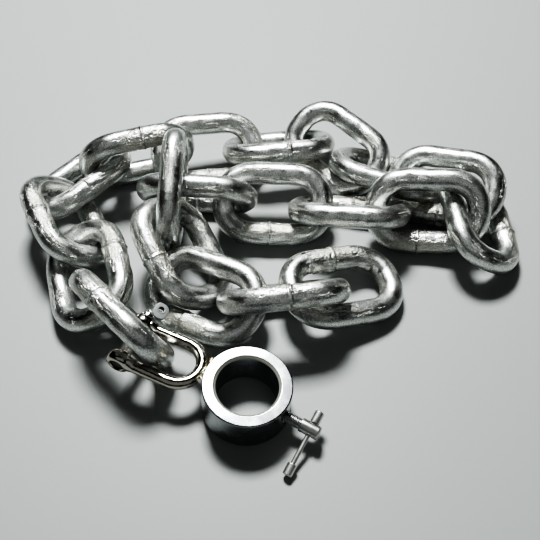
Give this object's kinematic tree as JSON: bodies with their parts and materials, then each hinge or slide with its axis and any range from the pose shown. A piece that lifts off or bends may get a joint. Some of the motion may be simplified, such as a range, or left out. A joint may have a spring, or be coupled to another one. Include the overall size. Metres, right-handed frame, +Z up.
{
  "type": "heap of chain",
  "caption": "Heap of bright welded steel chain with a bow shackle, a bar collar, a clamp screw and a sliding tommy bar.",
  "frame": {"origin": "on the floor, under the middle of the heap's bounding box", "axes": "+Z up from the floor; +X along the heap's longest side, to the right as seen from the collar's side; +Y away from the collar's side"},
  "size_m": [0.485, 0.4044, 0.1042],
  "materials": {
    "chain_steel": "bright zinc-plated steel, streaked and scuffed",
    "shackle_steel": "polished",
    "pin_steel": "polished, satin tab",
    "weld_metal": "as-welded, slightly yellow",
    "collar_steel": "turned, bright end faces",
    "screw_steel": "satin grey",
    "tommy_steel": "satin"
  },
  "bodies": {
    "heap": {"link_01": "chain_steel", "link_02": "chain_steel", "link_03": "chain_steel", "link_04": "chain_steel", "link_05": "chain_steel", "link_06": "chain_steel", "link_07": "chain_steel", "link_08": "chain_steel", "link_09": "chain_steel", "link_10": "chain_steel", "link_11": "chain_steel", "link_12": "chain_steel", "link_13": "chain_steel", "link_14": "chain_steel", "link_15": "chain_steel", "link_16": "chain_steel", "link_17": "chain_steel", "link_18": "chain_steel", "link_19": "chain_steel", "link_20": "chain_steel", "shackle_bow": "shackle_steel", "shackle_pin": "pin_steel", "bow_weld": "weld_metal", "collar": "collar_steel"},
    "screw": {"clamp_screw": "screw_steel"},
    "bar": {"tommy_bar": "tommy_steel"}
  },
  "joints": [
    {"name": "screw_turn", "type": "hinge", "parent": "heap", "child": "screw", "pos_m": [0.03659, -0.16628, 0.01524], "axis": [0.8721, -0.4837, -0.0743], "continuous": true},
    {"name": "tommy_slide", "type": "slide", "parent": "screw", "child": "bar", "axis": [0.4844, 0.8319, 0.2706], "range_m": [0, 0.0249]}
  ]
}
